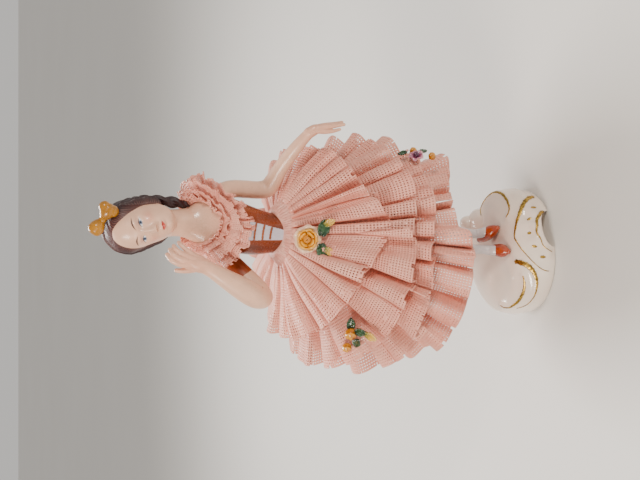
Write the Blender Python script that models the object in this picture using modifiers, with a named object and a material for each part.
"""Porcelain dancing lady in a lace skirt, on a scrolled base.

Metres, +Z up, she faces -Y, and +X is her left. The origin is on the underside of the base.
Everything is fired porcelain stuck together with slip, so nothing moves.
"""
import math

import bmesh
import bpy
from mathutils import Euler, Matrix, Vector

MM = 0.001
GAP = 0.3 * MM  # left between pieces that touch
TAU = 2 * math.pi

# Driving places and sizes, in millimetres
BASE_RADIUS = 22.2
BASE_HEIGHT = 13.0
NOTCH = (8.4, -23.0, 0.4)  # centre of the arch under the shell at the front
NOTCH_RADIUS = 6.2
KNOB = (10.6, 15.6, 14.6)
VENT = (-6.0, 6.0)
WAIST = (6.7, 0.3)  # the waist's axis; the skirt radiates from it
CORE_TOP = 93.0
CORE_BOTTOM = 56.0
NECK = (9.6, 0.9, 126.8)
HEAD = (8.7, 0.0, 143.4)
HEAD_TILT = Euler((0.0, math.radians(-10), math.radians(-14)), "XYZ")
SHOULDERS = (10.0, 0.2)

# Each tier: inner radius and height, then hem reach and hem height to the right, back, left, front
TIERS = (
    ("lace_tier_1", 10.2, 94.6, (28.5, 34.0, 37.5, 28.0), (84.0, 92.0, 88.0, 68.5)),
    ("lace_tier_2", 11.9, 85.0, (32.0, 40.0, 47.0, 31.5), (66.0, 80.0, 75.0, 57.5)),
    ("lace_tier_3", 13.4, 75.0, (32.5, 42.0, 49.0, 31.0), (53.0, 64.0, 60.0, 47.5)),
    ("lace_tier_4", 14.6, 64.5, (28.0, 37.0, 42.0, 28.5), (37.5, 46.0, 43.0, 38.5)),
)
TIER_WALL = 0.8
FLUTES = 20
STEPS_PER_FLUTE = 4

PINK = (0.84, 0.56, 0.50)
SKIN = (0.80, 0.62, 0.52)
WHITE = (0.86, 0.82, 0.78)
TAN = (0.42, 0.13, 0.03)
HAIR = (0.05, 0.02, 0.03)
OCHRE = (0.72, 0.40, 0.03)
GREEN = (0.03, 0.12, 0.04)
CREAM = (0.85, 0.66, 0.38)
ROSE = (0.62, 0.16, 0.26)


def clear_scene():
    for obj in list(bpy.data.objects):
        bpy.data.objects.remove(obj)


def new_collection(name):
    made = bpy.data.collections.new(name)
    bpy.context.scene.collection.children.link(made)
    return made


def glaze(name, colour, roughness=0.15):
    made = bpy.data.materials.new(name)
    made.use_nodes = True
    shader = made.node_tree.nodes["Principled BSDF"]
    shader.inputs["Base Color"].default_value = (*colour, 1.0)
    shader.inputs["Roughness"].default_value = roughness
    made.diffuse_color = (*colour, 1.0)
    return made


clear_scene()
PARTS = new_collection("porcelain_figurine")
CUTTERS = new_collection("cutters")


def mm(point):
    return Vector(point) * MM


def place(name, mesh, colour, matrix=None, cutter=False):
    """Links a mesh as a named sub-part with its own material, or as a hidden cutter."""
    obj = bpy.data.objects.new(name, mesh)
    if matrix is not None:
        mesh.transform(matrix)
    mesh.shade_smooth()
    mesh.set_sharp_from_angle(angle=math.radians(45))
    if cutter:
        CUTTERS.objects.link(obj)
        obj.hide_render = True
        obj.display_type = "WIRE"
    else:
        PARTS.objects.link(obj)
        mesh.materials.append(glaze(name, colour))
    return obj


def finish_mesh(name, bm):
    bmesh.ops.recalc_face_normals(bm, faces=bm.faces)
    mesh = bpy.data.meshes.new(name)
    bm.to_mesh(mesh)
    bm.free()
    return mesh


def loft(name, rings):
    """A closed mesh through rings of equal length, each a list of points in millimetres."""
    bm = bmesh.new()
    made = [[bm.verts.new(mm(point)) for point in ring] for ring in rings]
    for lower, upper in zip(made, made[1:]):
        for i, vert in enumerate(lower):
            j = (i + 1) % len(lower)
            bm.faces.new((vert, lower[j], upper[j], upper[i]))
    bm.faces.new(made[0])
    bm.faces.new(made[-1])
    return finish_mesh(name, bm)


def ellipse(centre, half_x, half_y, steps):
    x, y, z = centre
    return [
        (x + half_x * math.cos(TAU * i / steps), y + half_y * math.sin(TAU * i / steps), z)
        for i in range(steps)
    ]


def sheet(name, point_at, across, along, closed):
    """An open grid on point_at(u, v), u and v from 0 to 1; u joins up when closed."""
    bm = bmesh.new()
    columns = across if closed else across + 1
    rows = [
        [bm.verts.new(mm(point_at(i / across, j / along))) for i in range(columns)]
        for j in range(along + 1)
    ]
    for lower, upper in zip(rows, rows[1:]):
        for i in range(across):
            j = (i + 1) % columns
            bm.faces.new((lower[i], lower[j], upper[j], upper[i]))
    mesh = bpy.data.meshes.new(name)
    bm.to_mesh(mesh)
    bm.free()
    return mesh


def thicken(obj, wall):
    modifier = obj.modifiers.new("wall", "SOLIDIFY")
    modifier.thickness = wall * MM
    modifier.offset = 0.0


def cut(obj, cutter, operation="DIFFERENCE"):
    modifier = obj.modifiers.new(cutter.name, "BOOLEAN")
    modifier.operation = operation
    modifier.object = cutter


def ball(name, centre, radii, colour, turn=None, cutter=False, steps=(12, 8)):
    """An ellipsoid, turned about its own centre."""
    bm = bmesh.new()
    bmesh.ops.create_uvsphere(bm, u_segments=steps[0], v_segments=steps[1], radius=MM)
    turned = turn.to_matrix().to_4x4() if turn else Matrix()
    scaled = Matrix.Diagonal((*radii, 1.0))
    matrix = Matrix.Translation(mm(centre)) @ turned @ scaled
    return place(name, finish_mesh(name, bm), colour, matrix, cutter)


def tube(name, points, radii, colour, sides=2):
    """A curve of round section whose radius changes from point to point."""
    curve = bpy.data.curves.new(name, "CURVE")
    curve.dimensions = "3D"
    curve.bevel_depth = MM
    curve.bevel_resolution = sides
    curve.use_fill_caps = True
    spline = curve.splines.new("POLY")
    spline.points.add(len(points) - 1)
    for target, point, radius in zip(spline.points, points, radii):
        target.co = (*mm(point), 1.0)
        target.radius = radius
    curve.materials.append(glaze(name, colour))
    obj = bpy.data.objects.new(name, curve)
    PARTS.objects.link(obj)
    return obj


def add_link(bm, start, end, first, last):
    """One link of a limb: a cone between two balls."""
    axis = mm(end) - mm(start)
    turned = axis.to_track_quat("Z", "Y").to_matrix().to_4x4()
    bmesh.ops.create_cone(
        bm, cap_ends=True, segments=10, radius1=first * MM, radius2=last * MM, depth=axis.length,
        matrix=Matrix.Translation((mm(start) + mm(end)) / 2) @ turned,
    )
    for centre, radius in ((start, first), (end, last)):
        bmesh.ops.create_uvsphere(
            bm, u_segments=10, v_segments=8, radius=radius * MM, matrix=Matrix.Translation(mm(centre))
        )


def limb(name, chains, colour, voxel, keep):
    """Chains of (point, radius) grown together into one skin."""
    bm = bmesh.new()
    for chain in chains:
        for (start, first), (end, last) in zip(chain, chain[1:]):
            add_link(bm, start, end, first, last)
    mesh = bpy.data.meshes.new(name)
    bm.to_mesh(mesh)
    bm.free()
    obj = place(name, mesh, colour)
    remesh = obj.modifiers.new("skin", "REMESH")
    remesh.mode = "VOXEL"
    remesh.voxel_size = voxel * MM
    remesh.use_smooth_shade = True
    thinner = obj.modifiers.new("thin", "DECIMATE")
    thinner.ratio = keep
    return obj


def half_space(name, point, direction):
    """A large box whose near face passes through point, square to direction."""
    side = 40.0
    way = Vector(direction).normalized()
    turned = way.to_track_quat("Z", "Y").to_matrix().to_4x4()
    bm = bmesh.new()
    bmesh.ops.create_cube(bm, size=side * MM)
    matrix = Matrix.Translation(mm(Vector(point) + way * side / 2)) @ turned
    return place(name, finish_mesh(name, bm), WHITE, matrix, cutter=True)


def part_at_plane(near, far, point, direction):
    """Cuts two pieces that meet at a plane flat, with a gap between them."""
    way = Vector(direction).normalized()
    gap = GAP / MM
    cut(near, half_space(near.name + "_end", point, way))
    cut(far, half_space(far.name + "_end", Vector(point) + way * gap, -way))


# --- base, legs and slippers -------------------------------------------------------------

def base_radius(angle):
    lobes = 0.7 * math.cos(2 * angle - 0.3) + 0.6 * math.cos(3 * angle + 1.2)
    return BASE_RADIUS + lobes - 1.2 * math.sin(angle)


def build_base():
    steps = 40
    profile = (
        (0.0, 0.95), (1.2, 0.98), (4.0, 1.0), (7.0, 0.97), (9.8, 0.88), (11.8, 0.77),
        (BASE_HEIGHT, 0.62), (BASE_HEIGHT, 0.30),
    )
    rings = []
    for height, share in profile:
        ring = []
        for i in range(steps):
            angle = TAU * i / steps
            reach = share * base_radius(angle)
            ring.append((reach * math.cos(angle), reach * math.sin(angle), height))
        rings.append(ring)
    base = place("base", loft("base", rings), WHITE)
    knob = ball("knob_shape", KNOB, (3.6, 3.2, 3.0), WHITE, cutter=True)
    neck = ball("knob_neck", (9.0, 12.4, 12.2), (3.6, 4.6, 2.6), WHITE, cutter=True)
    cut(base, neck, "UNION")
    cut(base, knob, "UNION")
    arch = bmesh.new()
    bmesh.ops.create_cone(
        arch, cap_ends=True, segments=20, radius1=NOTCH_RADIUS * MM, radius2=0.6 * NOTCH_RADIUS * MM,
        depth=12 * MM,
        matrix=Matrix.Translation(mm(NOTCH)) @ Matrix.Rotation(-math.pi / 2, 4, "X"),
    )
    cut(base, place("notch_shape", finish_mesh("notch_shape", arch), WHITE, cutter=True))
    vent = bmesh.new()
    bmesh.ops.create_cone(
        vent, cap_ends=True, segments=12, radius1=1.25 * MM, radius2=1.25 * MM, depth=8 * MM,
        matrix=Matrix.Translation(mm((*VENT, 0.0))),
    )
    cut(base, place("vent_shape", finish_mesh("vent_shape", vent), WHITE, cutter=True))


def build_legs():
    """Both legs rise from the slippers into the hollow of the skirt core."""
    left = ((0.6, -5.6, 16.2), (0.8, -5.4, 20.0), (1.2, -4.4, 34.0), (2.4, -2.0, 56.0), (4.3, -0.4, 83.7))
    right = ((6.4, 0.4, 16.6), (6.6, 0.8, 20.0), (8.0, 1.4, 34.0), (9.4, 1.2, 56.0), (9.2, 1.0, 83.7))
    tube("left_leg", left, (1.9, 1.8, 2.6, 3.0, 2.1), WHITE)
    tube("right_leg", right, (1.8, 1.8, 2.6, 3.0, 2.1), WHITE)


def build_slipper(name, heel, toe, width):
    """A shoe lying on the mound: flat sole, rounded top, pointed toe."""
    heel, toe = Vector(heel), Vector(toe)
    way = (toe - heel).normalized()
    side = way.cross(Vector((0, 0, 1))).normalized()
    length = (toe - heel).length
    sections = (
        (0.0, 0.45, 1.6), (0.12, 0.75, 2.2), (0.35, 0.85, 2.1),
        (0.65, 1.0, 2.3), (0.88, 0.7, 1.6), (1.0, 0.3, 0.8),
    )
    steps = 12
    rings = []
    for share, wide, high in sections:
        ring = []
        for i in range(steps):
            angle = TAU * i / steps
            up = high * max(math.sin(angle), -0.12)
            across = side * (0.5 * width * wide * math.cos(angle))
            ring.append(heel + way * (share * length) + across + Vector((0, 0, up + 0.12 * high)))
        rings.append(ring)
    place(name, loft(name, rings), TAN)


# --- skirt -------------------------------------------------------------------------------

def around(values, angle):
    """A smooth value round the skirt that equals values to the right, back, left and front."""
    right, back, left, front = values
    mean = sum(values) / 4
    swing = (right - left) / 2 * math.cos(angle) + (back - front) / 2 * math.sin(angle)
    return mean + swing + (right + left - back - front) / 4 * math.cos(2 * angle)


def tier_point(inner, top, reach, hem, u, v):
    """A point on a pleated tier: u runs once round, v from the inner edge to the hem."""
    angle = TAU * u
    r_hem, z_hem = around(reach, angle), around(hem, angle)
    r_mid, z_mid = inner + 0.5 * (r_hem - inner), top - 0.38 * (top - z_hem)
    radius = (1 - v) ** 2 * inner + 2 * v * (1 - v) * r_mid + v * v * r_hem
    height = (1 - v) ** 2 * top + 2 * v * (1 - v) * z_mid + v * v * z_hem
    slope = Vector((r_hem - inner, top - z_hem)).normalized()
    pleat = (0.15 + 1.0 * v) * math.cos(FLUTES * angle)
    radius += slope.y * pleat
    height += slope.x * pleat
    return (WAIST[0] + radius * math.cos(angle), WAIST[1] + radius * math.sin(angle), height)


def build_tiers():
    for name, inner, top, reach, hem in TIERS:
        def point_at(u, v, inner=inner, top=top, reach=reach, hem=hem):
            return tier_point(inner, top, reach, hem, u, v)

        mesh = sheet(name, point_at, FLUTES * STEPS_PER_FLUTE, 3, closed=True)
        thicken(place(name, mesh, PINK), TIER_WALL)


def build_core():
    """The hidden bell: solid at the waist, hollow below, with a flat top that holds the torso."""
    profile = (
        (7.6, CORE_TOP), (9.4, 88.0), (10.8, 78.0), (12.2, 66.0), (13.2, CORE_BOTTOM),
        (11.0, CORE_BOTTOM), (9.6, 66.0), (7.6, 78.0), (6.0, 84.0),
    )
    rings = [ellipse((*WAIST, height), radius, radius, 24) for radius, height in profile]
    place("skirt_core", loft("skirt_core", rings), PINK)


def build_waist_band():
    profile = ((7.6, 98.4), (9.0, 97.2), (9.9, 95.4), (9.2, 93.6), (7.9, 93.4), (7.5, 95.5), (7.2, 97.6))
    steps = 28
    bm = bmesh.new()
    rings = [
        [bm.verts.new(mm(point)) for point in ellipse((*WAIST, height), radius, 0.9 * radius, steps)]
        for radius, height in profile
    ]
    for lower, upper in zip(rings, rings[1:] + rings[:1]):
        for i in range(steps):
            j = (i + 1) % steps
            bm.faces.new((lower[i], lower[j], upper[j], upper[i]))
    place("waist_lace_band", finish_mesh("waist_lace_band", bm), PINK)


# --- torso, head and arms ----------------------------------------------------------------

def build_torso():
    sections = (
        (93.3, 6.7, 0.3, 6.2, 5.2), (96.0, 6.7, 0.3, 6.5, 5.4), (99.0, 6.7, 0.3, 6.6, 5.5),
        (105.0, 7.3, -0.2, 7.9, 6.4), (111.0, 8.6, -0.7, 8.7, 7.4), (116.0, 9.6, -0.2, 8.8, 6.6),
        (119.5, 10.0, 0.4, 7.6, 5.3), (122.5, 10.0, 0.8, 6.2, 4.7), (124.6, 9.8, 0.9, 5.2, 4.4),
        (126.5, 9.6, 0.9, 4.7, 4.2),
    )
    rings = [ellipse((x, y, z), half_x, half_y, 20) for z, x, y, half_x, half_y in sections]
    place("torso", loft("torso", rings), SKIN)


def head_rings(grow):
    """An egg-shaped head about its own centre, chin forward, grown outwards by grow."""
    sections = (
        (-11.0, -3.6, 1.6, 1.3), (-10.2, -3.4, 3.0, 2.7), (-8.4, -2.2, 4.6, 4.9),
        (-5.8, -1.0, 5.7, 6.7), (-2.5, -0.2, 6.4, 7.8), (1.5, 0.2, 6.8, 8.3),
        (5.0, 0.5, 6.5, 8.0), (8.0, 0.8, 5.2, 6.6), (10.0, 1.0, 2.8, 3.8),
    )
    return [ellipse((0, y, z), wide + grow, deep + grow, 20) for z, y, wide, deep in sections]


def build_head():
    matrix = Matrix.Translation(mm(HEAD)) @ HEAD_TILT.to_matrix().to_4x4()
    head = place("head", loft("head", head_rings(0.0)), SKIN, matrix)
    neck = [
        ellipse((NECK[0], NECK[1], NECK[2]), 4.6, 4.2, 16),
        ellipse((NECK[0] - 0.2, NECK[1] - 0.1, NECK[2] + 4), 4.1, 4.0, 16),
        ellipse((NECK[0] - 0.6, NECK[1] - 0.4, NECK[2] + 9), 4.2, 4.2, 16),
    ]
    cut(head, place("neck_shape", loft("neck_shape", neck), SKIN, cutter=True), "UNION")
    inside = place("hair_bed", loft("hair_bed", head_rings(GAP / MM)), SKIN, matrix, cutter=True)
    middle = Vector(HEAD) + HEAD_TILT.to_matrix() @ Vector((0, 2.4, 1.6))
    hair = ball("hair", middle, (8.9, 9.4, 10.0), HAIR, HEAD_TILT, steps=(20, 14))
    cut(hair, inside)
    neck_bed = [
        ellipse((NECK[0], NECK[1], NECK[2]), 5.0, 4.6, 16),
        ellipse((NECK[0] - 0.6, NECK[1] - 0.4, NECK[2] + 9), 4.6, 4.6, 16),
    ]
    cut(hair, place("nape_shape", loft("nape_shape", neck_bed), SKIN, cutter=True))
    tube(
        "hair_ringlet",
        ((17.6, 1.8, 139.2), (17.2, 1.5, 136.8), (16.5, 1.2, 133.5), (15.9, 1.0, 130.5), (15.6, 0.9, 127.4)),
        (0.9, 1.3, 1.5, 1.4, 0.8), HAIR, sides=1,
    )


def build_bow():
    ball("bow_knot", (10.6, -3.2, 155.2), (1.0, 1.3, 1.0), OCHRE, steps=(10, 6))
    for name, spot, radii, lean in (
        ("bow_left_loop", (8.0, -2.8, 157.1), (2.2, 1.5, 2.0), 35),
        ("bow_right_loop", (14.1, -4.3, 153.4), (2.9, 1.7, 2.5), 50),
    ):
        ball(name, spot, radii, OCHRE, Euler((0, math.radians(lean), 0)), steps=(12, 8))


def build_arms():
    right_chain = (
        ((-2.0, 2.4, 113.8), 2.8), ((-3.6, 1.2, 112.6), 3.1), ((-8.0, -2.2, 108.8), 3.5),
        ((-14.0, -7.0, 104.4), 3.8), ((-13.4, -9.0, 107.8), 3.9), ((-10.6, -10.2, 113.2), 3.6),
        ((-6.9, -10.9, 119.4), 2.9), ((-3.9, -11.0, 124.6), 2.35), ((-3.1, -11.1, 126.6), 2.3),
    )
    right_arm = limb("right_arm", [right_chain], SKIN, 0.8, 0.25)
    wrist = (-3.5, -11.05, 125.6)
    fingers = (
        ((-3.2, -11.6, 128.6), (-3.2, -12.2, 132.2), (-1.9, -12.0, 135.4), (-0.3, -10.4, 136.6)),
        ((-2.4, -11.8, 129.0), (-1.8, -12.5, 132.0), (-0.3, -12.1, 135.0), (1.2, -10.6, 135.9)),
        ((-1.8, -11.6, 129.0), (-0.4, -12.3, 131.4), (1.1, -11.8, 134.0), (2.4, -10.4, 134.6)),
        ((-1.8, -11.3, 128.4), (0.7, -11.7, 130.4), (2.4, -11.3, 132.2), (3.6, -10.2, 133.0)),
    )
    right_hand = limb("right_hand", [
        (((-3.9, -11.0, 124.6), 2.3), ((-2.6, -11.8, 129.0), 2.1)),
        *(tuple(zip(finger, (1.7, 1.3, 1.05, 0.9))) for finger in fingers),
        (((-3.6, -11.0, 127.0), 1.4), ((-5.0, -10.8, 130.2), 1.1), ((-5.3, -10.4, 133.4), 0.9)),
    ], SKIN, 0.5, 0.3)
    part_at_plane(right_arm, right_hand, wrist, (0.35, -0.05, 1.0))

    left_chain = (
        ((21.0, 1.6, 114.4), 2.7), ((21.4, 2.0, 111.5), 2.9), ((21.3, 2.6, 107.0), 3.0),
        ((21.2, 2.8, 101.8), 3.0), ((22.8, 1.6, 98.6), 3.0), ((29.0, -3.4, 96.4), 2.5),
        ((35.0, -8.8, 93.0), 2.1), ((39.3, -12.2, 90.0), 1.8), ((40.6, -13.2, 88.6), 1.8),
    )
    left_arm = limb("left_arm", [left_chain], SKIN, 0.8, 0.25)
    left_hand = limb("left_hand", [
        (((39.3, -12.2, 90.0), 1.8), ((41.0, -13.4, 86.6), 1.7)),
        (((41.0, -13.2, 87.0), 1.3), ((42.0, -14.0, 83.6), 1.0), ((43.0, -14.9, 79.6), 0.7)),
        (((41.0, -13.8, 87.0), 1.3), ((41.6, -14.8, 83.4), 1.0), ((42.2, -15.6, 79.2), 0.7)),
        (((40.6, -12.8, 87.0), 1.2), ((41.6, -12.8, 83.6), 0.95), ((42.4, -13.4, 80.2), 0.7)),
        (((40.2, -13.8, 87.6), 1.1), ((39.9, -15.0, 84.0), 0.85), ((40.4, -15.8, 80.8), 0.7)),
    ], SKIN, 0.45, 0.3)
    part_at_plane(left_arm, left_hand, (40.0, -12.8, 89.2), (0.6, -0.4, -1.0))


def ruffle_point(radius, width, drop, fall, waves, depth, u, v):
    """A frilled ring round the shoulders: v from the neckline outwards; it falls most in front."""
    angle = TAU * u
    reach = radius + width * v
    wave = depth * (0.2 + 0.8 * v) * math.cos(waves * angle)
    front = max(-math.sin(angle), 0.0)
    x = SHOULDERS[0] + reach * math.cos(angle)
    y = SHOULDERS[1] + 0.80 * reach * math.sin(angle)
    z = 121.0 + 1.8 * math.cos(angle) + 3.6 * math.sin(angle) - drop - v * (0.8 + fall * front) + wave
    return (x, y, z)


def build_collar():
    for name, *shape in (
        ("collar_inner_ruffle", 9.0, 4.2, 0.0, 1.0, 15, 0.4),
        ("collar_outer_ruffle", 10.6, 4.9, 1.9, 3.6, 15, 0.6),
    ):
        def point_at(u, v, shape=shape):
            return ruffle_point(*shape, u, v)

        mesh = sheet(name, point_at, 60, 2, closed=True)
        thicken(place(name, mesh, PINK), 0.6)


# --- flowers -----------------------------------------------------------------------------

def facing(centre, direction, spin=0.0):
    """Local +Z along direction at centre, in millimetres."""
    turned = Vector(direction).to_track_quat("Z", "Y").to_matrix().to_4x4()
    return Matrix.Translation(mm(centre)) @ turned @ Matrix.Rotation(spin, 4, "Z")


def petal_mesh(name, near, far, width, rise, cup):
    """A cupped petal that grows along local +X from near to far."""
    def point_at(u, v):
        x = near + (far - near) * v
        half = width * math.sin(math.radians(35 + 110 * v)) / 2
        y = half * (2 * u - 1)
        return (x, y, rise * v + cup * (2 * u - 1) ** 2)

    return sheet(name, point_at, 4, 3, closed=False)


def build_petal(name, matrix, near, far, width, rise, cup, colour, wall=0.5):
    thicken(place(name, petal_mesh(name, near, far, width, rise, cup), colour, matrix), wall)


def build_waist_rose():
    centre, way = Vector((4.6, -15.2, 91.2)), Vector((-0.05, -0.9, 0.44)).normalized()
    ball("rose_centre", centre + way * 1.2, (1.0, 1.0, 1.5), OCHRE, way.to_track_quat("Z", "Y").to_euler())
    turned = facing(centre, way)
    steps = 16
    profile = ((1.5, 0.2), (2.2, 0.6), (2.9, 2.2), (2.4, 2.3), (1.7, 1.0), (1.4, 0.8))
    bm = bmesh.new()
    rings = [
        [bm.verts.new(mm(point)) for point in ellipse((0, 0, height), radius, radius, steps)]
        for radius, height in profile
    ]
    for lower, upper in zip(rings, rings[1:] + rings[:1]):
        for i in range(steps):
            bm.faces.new((lower[i], lower[(i + 1) % steps], upper[(i + 1) % steps], upper[i]))
    place("rose_inner_whorl", finish_mesh("rose_inner_whorl", bm), OCHRE, turned)
    for i in range(5):
        spin = TAU * (i + 0.25) / 5
        matrix = facing(centre, way, spin)
        build_petal(f"rose_petal_{i + 1}", matrix, 2.6, 4.6, 3.1, 1.3, 0.25, CREAM)
    for name, spot, spin, size, colour in (
        ("rose_leaf_left", (2.0, -18.8, 86.4), 205, 4.0, GREEN),
        ("rose_leaf_right", (7.4, -18.9, 86.3), -25, 4.0, GREEN),
        ("rose_tip_left", (2.4, -20.8, 83.5), 250, 3.2, CREAM),
        ("rose_tip_right", (7.2, -20.8, 83.5), -70, 3.2, CREAM),
    ):
        matrix = facing(spot, way, math.radians(spin))
        build_petal(name, matrix, -size / 2, size / 2, 2.6, 0.4, 0.3, colour)


def build_left_buds():
    way = Vector((-0.45, -0.55, 0.7)).normalized()
    for name, spot, size in (
        ("left_bud_small", (-31.2, -12.6, 79.0), 1.35), ("left_bud_large", (-26.6, -14.4, 78.4), 1.8),
    ):
        ball(name, spot, (size, size, size * 1.1), OCHRE, steps=(10, 7))
    for name, spot, spin, colour in (
        ("left_bud_leaf_1", (-29.4, -14.6, 76.2), 180, GREEN),
        ("left_bud_leaf_2", (-25.6, -17.2, 76.0), -60, GREEN),
        ("left_bud_leaf_3", (-23.2, -13.9, 78.0), 20, GREEN),
        ("left_bud_tip", (-26.9, -19.8, 73.6), -90, CREAM),
    ):
        build_petal(name, facing(spot, way, math.radians(spin)), -1.7, 1.7, 2.0, 0.3, 0.25, colour)


def build_right_flowers():
    way = Vector((0.72, -0.58, 0.38)).normalized()
    centre = Vector((34.4, -18.6, 54.6))
    ball("right_blossom_eye", centre + way * 0.9, (0.9, 0.9, 0.9), HAIR, steps=(8, 6))
    for i in range(5):
        matrix = facing(centre, way, TAU * i / 5)
        build_petal(f"right_blossom_petal_{i + 1}", matrix, 1.0, 2.9, 2.0, 0.5, 0.15, ROSE)
    ball("right_bud_upper", (37.7, -15.9, 55.4), (1.2, 1.2, 1.2), OCHRE, steps=(8, 6))
    ball("right_bud_lower", (34.2, -18.4, 48.2), (1.2, 1.2, 1.2), OCHRE, steps=(8, 6))
    for name, spot, spin in (
        ("right_leaf_upper", (35.3, -16.4, 58.7), 60), ("right_leaf_lower", (36.0, -17.0, 51.2), -60),
    ):
        build_petal(name, facing(spot, way, math.radians(spin)), -1.6, 1.6, 1.9, 0.3, 0.25, GREEN)


build_base()
build_legs()
build_slipper("left_slipper", (0.8, -3.4, 13.3), (0.2, -14.0, 13.3), 5.2)
build_slipper("right_slipper", (5.4, 2.4, 13.3), (9.4, -7.4, 13.3), 5.0)
build_core()
build_waist_band()
build_tiers()
build_torso()
build_head()
build_bow()
build_arms()
build_collar()
build_waist_rose()
build_left_buds()
build_right_flowers()
